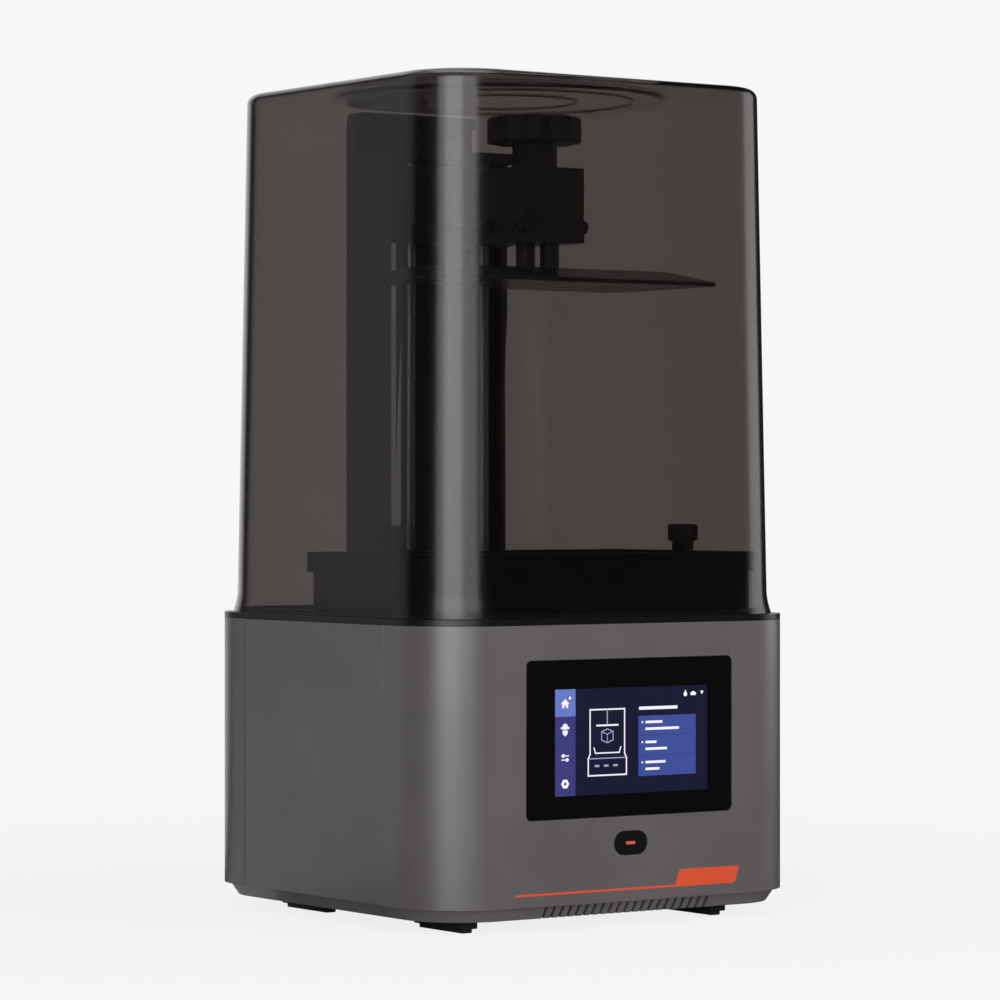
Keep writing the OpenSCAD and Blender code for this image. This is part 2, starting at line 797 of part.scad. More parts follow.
module lead_nut() color(dark) difference() {
    union() {
        bar_z(0, rod_y, nut_r, carriage_z - 0.1, carriage_z + 16);
        bar_z(0, rod_y, nut_flange_r, carriage_z - 3.5, carriage_z);
    }
    bar_z(0, rod_y, rod_r + fit_gap, carriage_z - 5, carriage_z + 17);
}

// Plate on the carriage, high enough to stay above the vat, and a beam with a tongue through the clamp block
module platform_arm() color(black) {
    plate_y = carriage_front - arm_plate_t;
    block([-carriage_half_w, plate_y, head_top], [carriage_half_w, carriage_front, carriage_top]);
    block([-arm_half_w, knob_y + platform_w / 2, head_top], [arm_half_w, plate_y + 0.1, arm_top]);
    block([-tongue_half_w, tongue_y, tongue_z], [tongue_half_w, knob_y + platform_w / 2 + 0.1, tongue_top]);
}

module clamp_block() color(black) difference() {
    half = platform_w / 2;
    block([-half, knob_y - half, head_top], [half, knob_y + half, arm_top]);
    block([-tongue_half_w, tongue_y, tongue_z], [tongue_half_w, knob_y + half + 1, tongue_top]);
    bar_z(0, knob_y, 4 + fit_gap, tongue_top - 1, arm_top + 1);
}

module platform_head() color(black) {
    half = platform_w / 2;
    block([-half, knob_y - half, head_z], [half, knob_y + half, head_top - 0.6]);
    block([-half + 0.6, knob_y - half + 0.6, head_top - 0.7], [half - 0.6, knob_y + half - 0.6, head_top]);
    for (sx = [-1, 1]) bar_z(sx * post_x, optic_y, post_r, plateau_z, head_z + 0.1);
    for (sx = [-1, 1], y = [knob_y - 14, knob_y + 14])
        translate([sx * (half - 0.1), y, head_z + 8.5]) rotate([0, sx * 90, 0]) difference() {
            cylinder(h = 3.6, r = 3.5);
            translate([0, 0, 1.8]) cylinder(h = 3, r = 1.5, $fn = 6);
        }
}

// Flat slab with a shallow hipped roof that rises to the plateau under the head
module build_plate() color(black) {
    roof_z = plate_z + edge_t;
    block([-plate_half_w, optic_y - plate_half_d, plate_z], [plate_half_w, optic_y + plate_half_d, roof_z]);
    intersection() {
        translate([0, optic_y + plate_half_d, 0]) rotate([90, 0, 0]) linear_extrude(2 * plate_half_d)
            polygon([[-plate_half_w, roof_z - 0.1], [plate_half_w, roof_z - 0.1], [plate_half_w, roof_z],
                     [plateau_half_w, plateau_z], [-plateau_half_w, plateau_z], [-plate_half_w, roof_z]]);
        translate([-plate_half_w, optic_y, 0]) rotate([90, 0, 90]) linear_extrude(2 * plate_half_w)
            polygon([[-plate_half_d, roof_z - 0.1], [plate_half_d, roof_z - 0.1], [plate_half_d, roof_z],
                     [plateau_half_d, plateau_z], [-plateau_half_d, plateau_z], [-plate_half_d, roof_z]]);
    }
}

module clamp_knob() color(black) {
    knob_r = knob_d / 2;
    difference() {
        bar_z(0, knob_y, knob_r, knob_z, knob_top);
        for (k = [0:7]) rotate_about(k * 45 + 10)
            translate([knob_r + 6.6, 0, knob_z - 1]) cylinder(h = 20, r = 9);
    }
    bar_z(0, knob_y, 14, knob_top - 0.1, knob_top + 0.4);
    bar_z(0, knob_y, neck_r, arm_top + 0.3, knob_z + 0.1);
    bar_z(0, knob_y, 4, tongue_top + 0.3, arm_top + 1);
}

// Turn children about the knob's axis
module rotate_about(angle) {
    translate([0, knob_y, 0]) rotate([0, 0, angle]) children();
}

// ---- Lid ----

// Side of the lid from its foot to its rounded top edge, moved inwards by a wall
module lid_solid(wall, z0, z1, edge_r) {
    steps = 6;
    profile = concat(
        [[flare_inset_low + wall, z0], [flare_inset_high + wall, lid_z + flare_h],
         [lid_inset_top + wall, z1 - edge_r]],
        [for (k = [1:steps])
            [lid_inset_top + wall + edge_r * (1 - cos(90 * k / steps)), z1 - edge_r + edge_r * sin(90 * k / steps)]]);
    profiled_solid(profile, lid_corner);
}

module lid_cover() color(smoke) {
    difference() {
        lid_solid(0, lid_z, lid_top, lid_edge_r);
        lid_solid(lid_wall, lid_z - 0.01, lid_top - lid_top_t, lid_edge_r - 2.5);
        bar_z(0, 0, recess_r, lid_top - recess_d, lid_top + 1);
    }
    difference() {
        bar_z(0, 0, recess_r + 2, lid_top - recess_d - lid_top_t, lid_top - lid_top_t + 0.1);
        bar_z(0, 0, recess_r, lid_top - recess_d, lid_top + 1);
    }
}

front_cover();
rear_cover();
side_panel_left();
side_panel_right();
bottom_tray();
rubber_feet();
chassis_pillars();
deck_plate();
deck_screws();
accent_stripe();
screen_glass();
display_panel();
display_board();
display_bracket();
power_button();
button_light();
button_switch();
button_board();
mainboard();
board_standoffs();
dc_inlet();
usb_port();
usb_board();
fan_frame();
fan_rotor();
led_board();
led_array();
heatsink();
fresnel_lens();
light_hood();
exposure_lcd();
lcd_cover_glass();
vat_frame();
vat_film();
film_clamp_ring();
film_screws();
vat_thumbscrew_left();
vat_thumbscrew_right();
column_housing();
column_cap();
column_screws();
guide_side_plates();
top_bearing_plate();
bottom_bearing_block();
screw_bearings();
guide_rods();
z_motor();
motor_bracket();
z_limit_sensor();
lead_screw();
shaft_coupler();
carriage_block();
guide_bushings();
lead_nut();
platform_arm();
clamp_block();
platform_head();
build_plate();
clamp_knob();
lid_cover();
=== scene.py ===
"""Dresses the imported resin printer: smooth shells, finishes, screen picture, studio and camera."""

import logging
import math
from dataclasses import dataclass, field
from enum import Enum
from functools import cache, reduce
from typing import Callable, Sequence

import bmesh
import bpy
import numpy as np
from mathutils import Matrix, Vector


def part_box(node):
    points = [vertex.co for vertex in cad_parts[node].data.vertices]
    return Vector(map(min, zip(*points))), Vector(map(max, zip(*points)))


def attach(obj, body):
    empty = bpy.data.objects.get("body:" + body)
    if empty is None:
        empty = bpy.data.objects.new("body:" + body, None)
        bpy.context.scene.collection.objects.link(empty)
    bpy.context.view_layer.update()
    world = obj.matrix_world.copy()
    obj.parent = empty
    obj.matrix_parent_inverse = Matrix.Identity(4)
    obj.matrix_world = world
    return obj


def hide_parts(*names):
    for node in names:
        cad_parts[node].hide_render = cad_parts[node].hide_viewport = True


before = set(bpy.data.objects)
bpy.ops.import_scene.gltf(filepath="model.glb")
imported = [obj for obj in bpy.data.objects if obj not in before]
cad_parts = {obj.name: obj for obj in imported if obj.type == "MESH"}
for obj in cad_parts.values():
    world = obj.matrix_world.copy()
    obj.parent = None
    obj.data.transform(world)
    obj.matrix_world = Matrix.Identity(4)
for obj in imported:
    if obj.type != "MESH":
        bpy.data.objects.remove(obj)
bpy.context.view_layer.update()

LOG = logging.getLogger("resin_printer")
MM = 0.001
Array = np.ndarray
Material = bpy.types.Material
Node = bpy.types.Node
Object = bpy.types.Object
Colour = tuple[float, float, float]
Rgba = tuple[float, float, float, float]
Point = tuple[float, float]
Socket = bpy.types.NodeSocket
Sockets = bpy.types.bpy_prop_collection
Wave = Callable[[Array, Array, Array], Array]


def srgb(red: float, green: float, blue: float) -> Colour:
    """Linear light of a screen colour whose channels run from 0 to 255."""
    shares = (channel / 255.0 for channel in (red, green, blue))
    return tuple(s / 12.92 if s <= 0.04045 else ((s + 0.055) / 1.055) ** 2.4 for s in shares)


def rgba(colour: Colour) -> Rgba:
    """The colour with full opacity, as sockets want it."""
    return (*colour, 1.0)


def grey(level: float) -> Rgba:
    """A neutral colour with full opacity."""
    return rgba((level, level, level))


# ---- Meshes ----


@dataclass
class Surface:
    """Grids of points gathered one by one, then turned into one mesh object at the origin."""

    name: str
    points: list[Array] = field(default_factory=list)
    faces: list[list[int]] = field(default_factory=list)
    slots: list[int] = field(default_factory=list)
    count: int = 0

    def ring_grid(self, points: Array) -> None:
        """Adds a grid of quads whose last column is joined to the first.

        Args:
            points: array of shape (rows, columns, 3) in metres.
        """
        rows, columns = points.shape[:2]
        index = np.arange(rows * columns).reshape(rows, columns) + self.count
        index = np.hstack([index, index[:, :1]])
        quads = np.stack([index[:-1, :-1], index[:-1, 1:], index[1:, 1:], index[1:, :-1]], axis=-1)
        quads = quads.reshape(-1, 4).tolist()
        self.points.append(points.reshape(-1, 3))
        self.faces.extend(quads)
        self.slots.extend([0] * len(quads))
        self.count += rows * columns

    def polygon(self, points: Array, slot: int = 0) -> None:
        """Adds one flat face.

        Args:
            points: its corners, one a row, in metres.
            slot: its material slot.
        """
        self.points.append(points)
        self.faces.append(list(range(self.count, self.count + len(points))))
        self.slots.append(slot)
        self.count += len(points)

    def build(self, materials: Sequence[Material], smooth_deg: float = 35.0,
              merge: float = 1e-6, closed: bool = True) -> Object:
        """Makes the mesh object.

        Args:
            materials: one per slot.
            smooth_deg: edges sharper than this stay hard.
            merge: distance under which points become one, in metres.
            closed: a closed shell, whose faces are turned outwards.

        Returns:
            The new object, linked to the scene.
        """
        mesh = bpy.data.meshes.new(self.name)
        mesh.from_pydata(np.concatenate(self.points).tolist(), [], self.faces)
        mesh.polygons.foreach_set("material_index", np.array(self.slots, dtype=np.int32))
        for material in materials:
            mesh.materials.append(material)
        work = bmesh.new()
        work.from_mesh(mesh)
        bmesh.ops.remove_doubles(work, verts=work.verts, dist=merge)
        if closed:
            bmesh.ops.recalc_face_normals(work, faces=work.faces)
        work.to_mesh(mesh)
        work.free()
        return link_smooth(mesh, smooth_deg)


def link_smooth(mesh: bpy.types.Mesh, smooth_deg: float) -> Object:
    """Links a mesh as an object of its own name, shaded smooth.

    Args:
        mesh: the finished mesh.
        smooth_deg: edges sharper than this stay hard.

    Returns:
        The new object.
    """
    mesh.shade_smooth()
    mesh.set_sharp_from_angle(angle=math.radians(smooth_deg))
    made = bpy.data.objects.new(mesh.name, mesh)
    bpy.context.scene.collection.objects.link(made)
    return made


def round_loop(half_x: float, half_y: float, radius: float, steps: int) -> Array:
    """Closed outline of a rectangle with round corners, anticlockwise from the +X side.

    A corner is its centre plus the radius times (cos, sin) of evenly spaced angles.

    Args:
        half_x, half_y: half sizes.
        radius: corner radius.
        steps: chords per corner.

    Returns:
        Array of shape (4 * (steps + 18), 2): each corner's arc, then the side after it, which has a
        point close to each end, so that its shading stays flat.
    """
    side_steps, close = 16, 0.003
    x, y = half_x - radius, half_y - radius
    arcs = []
    for k, centre in enumerate([(x, y), (-x, y), (-x, -y), (x, -y)]):
        turn = np.radians(np.linspace(90 * k, 90 * k + 90, steps + 1))
        arcs.append(np.array(centre) + radius * np.column_stack([np.cos(turn), np.sin(turn)]))
    share = np.concatenate([[close], np.linspace(0, 1, side_steps + 1)[1:-1], [1 - close]])[:, None]
    line = []
    for here, after in zip(arcs, arcs[1:] + arcs[:1]):
        line += [here, here[-1] + share * (after[0] - here[-1])]
    return np.concatenate(line)


def rounded_profile(corners: Sequence[tuple[float, float, float]], steps: int) -> Array:
    """Open line through corners, each replaced by an arc.

    The arc is a quadratic blend between the points where it leaves the two straight sides.

    Args:
        corners: rows of (x, y, radius).
        steps: chords per arc.

    Returns:
        Array of shape (points, 2).
    """
    line = []
    places = np.array([corner[:2] for corner in corners], dtype=float)
    for i, (x, y, radius) in enumerate(corners):
        here = np.array([x, y], dtype=float)
        if radius <= 0 or i in (0, len(corners) - 1):
            line.append(here[None])
            continue
        ends = []
        for side in (places[i - 1] - here, places[i + 1] - here):
            length = np.linalg.norm(side)
            ends.append(here + side / length * min(radius, length * 0.49))
        t = np.linspace(0, 1, steps + 1)[:, None]
        line.append((1 - t) ** 2 * ends[0] + 2 * t * (1 - t) * here + t ** 2 * ends[1])
    return np.concatenate(line)


def turned(profile: Array, columns: int, node: str, wave: Wave | None = None) -> Array:
    """Surface of revolution about the vertical line through the middle of a node's box.

    Args:
        profile: rows of (radius, z) in metres.
        columns: points round the axis.
        node: the CAD node.
        wave: optional function of (angle, radius, z) that gives a factor on the radius.

    Returns:
        Grid of shape (rows, columns, 3).
    """
    turn = np.linspace(0, 2 * np.pi, columns, endpoint=False)
    angle, radius = np.meshgrid(turn, profile[:, 0])
    height = np.repeat(profile[:, 1:2], columns, axis=1)
    if wave is not None:
        radius = radius * wave(angle, radius, height)
    low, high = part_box(node)
    x = (low[0] + high[0]) / 2 + radius * np.cos(angle)
    y = (low[1] + high[1]) / 2 + radius * np.sin(angle)
    return np.stack([x, y, height], axis=-1)


# ---- Node groups and finishes ----


class Sketch:
    """Short hand for making and wiring shader nodes in one tree."""

    def __init__(self, tree: bpy.types.NodeTree) -> None:
        """Works on the given tree."""
        self.tree = tree

    def feed(self, node: Node, inputs: dict) -> None:
        """Fills a node's inputs.

        Args:
            node: the node.
            inputs: sockets, which are linked, and values, which are set, by input name or number.
        """
        for key, value in inputs.items():
            if isinstance(value, bpy.types.NodeSocket):
                self.tree.links.new(value, node.inputs[key])
            else:
                node.inputs[key].default_value = value

    def add(self, kind: str, inputs: dict | None = None, **settings: object) -> Node:
        """Adds a node.

        Args:
            kind: the node's type.
            inputs: what its inputs get.
            settings: properties that are set first.

        Returns:
            The new node.
        """
        made = self.tree.nodes.new(kind)
        for key, value in settings.items():
            setattr(made, key, value)
        self.feed(made, inputs or {})
        return made

    def place(self, kind: str = "Object") -> Socket:
        """A coordinate of the surface."""
        return self.add("ShaderNodeTexCoord").outputs[kind]

    def axes(self, kind: str) -> Sockets:
        """The X, Y and Z of a coordinate of the surface."""
        return self.add("ShaderNodeSeparateXYZ", {0: self.place(kind)}).outputs

    def math(self, operation: str, first: Socket | float, second: Socket | float = 0.0) -> Socket:
        """One math step on sockets or plain numbers."""
        return self.add("ShaderNodeMath", {0: first, 1: second}, operation=operation).outputs[0]

    def vector(self, operation: str, *inputs: Socket | tuple) -> Sockets:
        """One vector math step: its outputs are a vector and a value."""
        return self.add("ShaderNodeVectorMath", dict(enumerate(inputs)), operation=operation).outputs

    def product(self, *factors: Socket | float) -> Socket:
        """Factors multiplied together, the first of them a socket."""
        return reduce(lambda made, factor: self.math("MULTIPLY", made, factor), factors)

    def remap(self, value: Socket, low: float, high: float, to_low: float = 0.0,
              to_high: float = 1.0) -> Socket:
        """Carries a value from one range to another, held at both ends."""
        return self.add("ShaderNodeMapRange", {0: value, 1: low, 2: high, 3: to_low, 4: to_high}).outputs[0]

    def mix_colour(self, factor: Socket, first: Socket | tuple, second: Socket | tuple) -> Socket:
        """Blend of two colours."""
        return self.add("ShaderNodeMix", {0: factor, 6: first, 7: second}, data_type="RGBA").outputs[2]

    def group(self, name: str, inputs: dict | None = None) -> Sockets:
        """Places a shared group and gives its outputs."""
        return self.add("ShaderNodeGroup", inputs, node_tree=bpy.data.node_groups[name]).outputs


def new_group(name: str, inputs: dict[str, float], outputs: Sequence[str]) -> tuple[Sketch, Sockets, Node]:
    """Starts a shader node group with number sockets.

    Args:
        name: the group's name.
        inputs: its inputs' names and values.
        outputs: its outputs' names.

    Returns:
        The sketch, the sockets of what the group is given, and its output node.
    """
    tree = bpy.data.node_groups.new(name, "ShaderNodeTree")
    for label, value in inputs.items():
        socket = tree.interface.new_socket(label, in_out="INPUT", socket_type="NodeSocketFloat")
        socket.default_value = value
    for label in outputs:
        tree.interface.new_socket(label, in_out="OUTPUT", socket_type="NodeSocketFloat")
    sketch = Sketch(tree)
    return sketch, sketch.add("NodeGroupInput").outputs, sketch.add("NodeGroupOutput")


def grain_group() -> None:
    """Fine even grain, as powder coat or moulded plastic has: a height and a patchy mask."""
    scales = {"Scale": 2500.0, "Patch Scale": 30.0}
    sketch, given, result = new_group("fine_grain", scales, ["Height", "Mask"])
    place = sketch.place()
    fine = sketch.add("ShaderNodeTexNoise", {"Vector": place, "Scale": given["Scale"], "Detail": 2.0})
    cell = sketch.add("ShaderNodeTexVoronoi", {"Vector": place, "Scale": given["Scale"]})
    patch = sketch.add("ShaderNodeTexNoise", {"Vector": place, "Scale": given["Patch Scale"], "Detail": 3.0})
    height = sketch.math("ADD", fine.outputs[0], sketch.product(cell.outputs["Distance"], 0.5))
    sketch.feed(result, {"Height": height, "Mask": sketch.remap(patch.outputs[0], 0.35, 0.65)})


def brushed_group() -> None:
    """Fine lines along Z, as drawn or ground metal has: a height and a streaky mask."""
    sketch, given, result = new_group("brushed_lines", {"Scale": 1500.0, "Stretch": 0.02}, ["Height", "Mask"])
    stretch = sketch.add("ShaderNodeCombineXYZ", {0: 1.0, 1: 1.0, 2: given["Stretch"]}).outputs[0]
    squeezed = sketch.vector("MULTIPLY", sketch.place(), stretch)[0]
    lines = sketch.add("ShaderNodeTexNoise", {"Vector": squeezed, "Scale": given["Scale"], "Detail": 2.0})
    sketch.feed(result, {"Height": lines.outputs[0], "Mask": sketch.remap(lines.outputs[0], 0.3, 0.7)})


def handling_group() -> None:
    """Faint clouds where hands and cloths have been, to vary a gloss."""
    sketch, given, result = new_group("handling", {"Scale": 18.0}, ["Mask"])
    cloud = sketch.add("ShaderNodeTexNoise", {"Vector": sketch.place(), "Scale": given["Scale"],
                                              "Detail": 5.0, "Roughness": 0.6})
    sketch.feed(result, {"Mask": sketch.remap(cloud.outputs[0], 0.4, 0.7)})


def start_material(name: str, shown: Colour) -> tuple[Material, Sketch, Node]:
    """Starts a node material.

    Args:
        name: its name.
        shown: its plain colour in a viewport.

    Returns:
        The material, a sketch of its tree, and its shader.
    """
    made = bpy.data.materials.new(name)
    made.use_nodes = True
    made.diffuse_color = rgba(shown)
    return made, Sketch(made.node_tree), made.node_tree.nodes["Principled BSDF"]


def handled_gloss(sketch: Sketch, low: float, high: float) -> Socket:
    """A roughness that drifts between two values with the handling clouds."""
    return sketch.remap(sketch.group("handling")["Mask"], 0.0, 1.0, low, high)


class Texture(Enum):
    """Which shared group gives a finish its grain."""

    GRAIN = "fine_grain"
    BRUSHED = "brushed_lines"


@dataclass(frozen=True)
class Finish:
    """An opaque finish: a colour with slight patches, grain in the surface, and a gloss that varies.

    Where the highlight depth is set, the left part in front of that depth and under the highlight top, both
    in millimetres, gets a painted highlight: a pale bare-metal tone that stands in for light catching that
    edge.
    """

    name: str
    colour: Colour
    roughness: float
    metallic: float = 0.0
    texture: Texture = Texture.GRAIN
    grain_scale: float = 2500.0
    grain_depth: float = 0.01
    patch: float = 0.06
    gloss_patch: float = 0.06
    specular: float = 0.5
    coat: float = 0.0
    painted_highlight_depth: float = 0.0
    painted_highlight_top: float = 352.0
    painted_highlight_colour: Colour = srgb(228, 224, 220)

    def material(self) -> Material:
        """Makes the material.

        Returns:
            A material whose colour, roughness and normal come from the shared groups.
        """
        made, sketch, shader = start_material(self.name, self.colour)
        grain = sketch.group(self.texture.value, {"Scale": self.grain_scale})
        dark = rgba(tuple(c * (1 - self.patch) for c in self.colour))
        light = rgba(tuple(min(1.0, c * (1 + self.patch)) for c in self.colour))
        colour = sketch.mix_colour(grain["Mask"], dark, light)
        # Painted highlight: the left plate's front edge below the platform is painted pale, where light
        # catches it.
        if self.painted_highlight_depth > 0:
            limits = zip(sketch.axes("Object"), (0.0, self.painted_highlight_depth * MM, self.painted_highlight_top * MM))
            painted_highlight_mask = sketch.product(*(sketch.math("LESS_THAN", axis, limit) for axis, limit in limits))
            colour = sketch.mix_colour(painted_highlight_mask, colour, rgba(self.painted_highlight_colour))
        if self.grain_depth > 0:
            depth = self.grain_depth * MM
            bump = sketch.add("ShaderNodeBump", {"Height": grain["Height"], "Distance": depth})
            sketch.feed(shader, {"Normal": bump.outputs[0]})
        gloss = handled_gloss(sketch, self.roughness, min(1.0, self.roughness + self.gloss_patch))
        sketch.feed(shader, {"Base Color": colour, "Roughness": gloss, "Metallic": self.metallic,
                             "Specular IOR Level": self.specular, "Coat Weight": self.coat})
        return made


@dataclass(frozen=True)
class ClearFinish:
    """A see-through finish: tinted plastic or glass, with faint clouds in its gloss.

    Where coat is set, a hard coat takes over the reflections near straight view, so that they are a
    little soft. Where edge_dark is set, the tint of upright faces falls off at a glancing look,
    where the way through the wall is longer.
    """

    name: str
    tint: Colour
    index: float = 1.49
    haze: float = 0.03
    coat: float = 0.0
    coat_roughness: float = 0.2
    edge_dark: float = 0.0
    glancing: tuple[float, float] = (0.45, 0.72)
    deep: float = 0.02

    def material(self) -> Material:
        """Makes the material.

        Returns:
            A material whose tint is the light that passes one surface.
        """
        made, sketch, shader = start_material(self.name, self.tint)
        gloss = handled_gloss(sketch, 0.0, self.haze)
        sketch.feed(shader, {"Base Color": rgba(self.tint), "Roughness": gloss, "Transmission Weight": 1.0,
                             "IOR": self.index})
        if self.edge_dark > 0:
            facing = sketch.add("ShaderNodeLayerWeight").outputs["Facing"]
            upright = sketch.math("LESS_THAN", sketch.math("ABSOLUTE", sketch.axes("Normal")["Z"]), 0.5)
            dim = sketch.product(sketch.remap(facing, *self.glancing, 0.0, self.edge_dark), upright)
            deep = rgba(tuple(c * self.deep for c in self.tint))
            sketch.feed(shader, {"Base Color": sketch.mix_colour(dim, rgba(self.tint), deep)})
        if self.coat > 0:
            sketch.feed(shader, {"Specular Tint": grey(0.0), "Coat Weight": self.coat,
                                 "Coat Roughness": self.coat_roughness})
        return made


@dataclass(frozen=True)
class GlowFinish:
    """A lit picture element behind glass: a colour that shines evenly under a polished face."""

    name: str
    colour: Colour
    strength: float = 1.0
    unlit: float = 0.05
    gloss: tuple[float, float] = (0.06, 0.12)

    def material(self) -> Material:
        """Makes the material.

        Returns:
            A material that looks much the same in any light.
        """
        made, sketch, shader = start_material(self.name, self.colour)
        sketch.feed(shader, {"Base Color": rgba(tuple(c * self.unlit for c in self.colour)),
                             "Roughness": handled_gloss(sketch, *self.gloss),
                             "Emission Color": rgba(self.colour), "Emission Strength": self.strength})
        return made


class Paint(Enum):
    """Every finish of the machine."""

    GREY = Finish("satin_grey_metal", srgb(82, 78, 79), 0.28, grain_scale=2200.0, grain_depth=0.012,
                  specular=1.0)
    DECK = Finish("black_satin_metal", srgb(13, 12, 12), 0.3, grain_depth=0.012, specular=0.6)
    ANODISED = Finish("black_anodised", srgb(52, 51, 51), 0.34, metallic=0.3)
    GROUND = Finish("ground_black_anodised", srgb(60, 58, 57), 0.24, metallic=0.3, grain_depth=0.006)
    # Painted light: the covers' grey paint, painted lighter on the tray to stand in for light its
    # downward-facing sides lack.
    TRAY_PAINTED_LIGHTER = Finish("satin_grey_tray_painted_lighter", srgb(94, 90, 91), 0.3, grain_scale=2200.0, grain_depth=0.012,
                  specular=1.0)
    VAT = Finish("black_vat_metal", srgb(9, 9, 9), 0.42, specular=0.2)
    # The left side plate's front edge gets a painted highlight below the platform.
    PLATE = Finish("folded_black_sheet", srgb(29, 28, 28), 0.38, painted_highlight_depth=46.9)
    BUTTON = Finish("black_button_cap", srgb(13, 12, 13), 0.4, specular=0.4)
    MOULDED = Finish("black_moulded_plastic", srgb(35, 34, 35), 0.45, grain_scale=1800.0, grain_depth=0.02)
    RUBBER = Finish("black_rubber", srgb(27, 26, 26), 0.75, grain_scale=1500.0, grain_depth=0.04)
    GLASS_BLACK = Finish("black_glass", srgb(8, 8, 9), 0.06, grain_depth=0.0, gloss_patch=0.04, patch=0.02)
    ROD_STEEL = Finish("ground_rod_steel", srgb(120, 119, 120), 0.2, 1.0, Texture.BRUSHED, grain_depth=0.004)
    STEEL = Finish("ground_steel", srgb(196, 196, 198), 0.22, 1.0, Texture.BRUSHED, grain_depth=0.004)
    ALUMINIUM = Finish("bare_aluminium", srgb(205, 206, 208), 0.35, 1.0, Texture.BRUSHED, grain_depth=0.006)
    BRASS = Finish("turned_brass", srgb(205, 170, 92), 0.28, 1.0, Texture.BRUSHED, grain_depth=0.004)
    CIRCUIT = Finish("green_circuit_board", srgb(22, 84, 52), 0.35, coat=0.2)
    ORANGE = Finish("orange_ink", srgb(192, 65, 28), 0.4, grain_depth=0.006, patch=0.03)
    LED = Finish("led_domes", srgb(226, 222, 190), 0.2, grain_depth=0.0)
    LCD = Finish("exposure_lcd_face", srgb(16, 17, 22), 0.08, grain_depth=0.0, patch=0.1)
    SMOKED = ClearFinish("smoked_clear_plastic", (0.28, 0.257, 0.248), 1.12, 0.01, coat=1.0, edge_dark=1.0)
    CLEAR = ClearFinish("clear_plastic", (0.93, 0.95, 0.96), haze=0.04)
    BUTTON_GLOW = GlowFinish("button_glow", srgb(214, 92, 70), 0.9)


class Ink(Enum):
    """The display's colours, in the order of the picture's material slots."""

    NAVY = GlowFinish("screen_navy", srgb(27, 28, 50))
    INDIGO = GlowFinish("screen_indigo", srgb(62, 60, 120))
    BLUE = GlowFinish("screen_blue", srgb(103, 119, 194))
    CARD = GlowFinish("screen_card", srgb(64, 78, 150))
    CARD_LINE = GlowFinish("screen_card_line", srgb(50, 60, 136))
    WHITE = GlowFinish("screen_white", srgb(240, 240, 248))
    LAVENDER = GlowFinish("screen_lavender", srgb(160, 158, 196))


@cache
def painted(paint: Paint | Ink) -> Material:
    """The material of a finish, made at its first use."""
    return paint.value.material()


# ---- Sub-assemblies ----


def place(piece: Object, body: str, slot: str) -> None:
    """Lets a finished piece ride on a body and reports it.

    Args:
        piece: the piece.
        body: what it rides on.
        slot: not used.
    """
    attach(piece, body)
    LOG.info("piece %s rides on %s", piece.name, body)


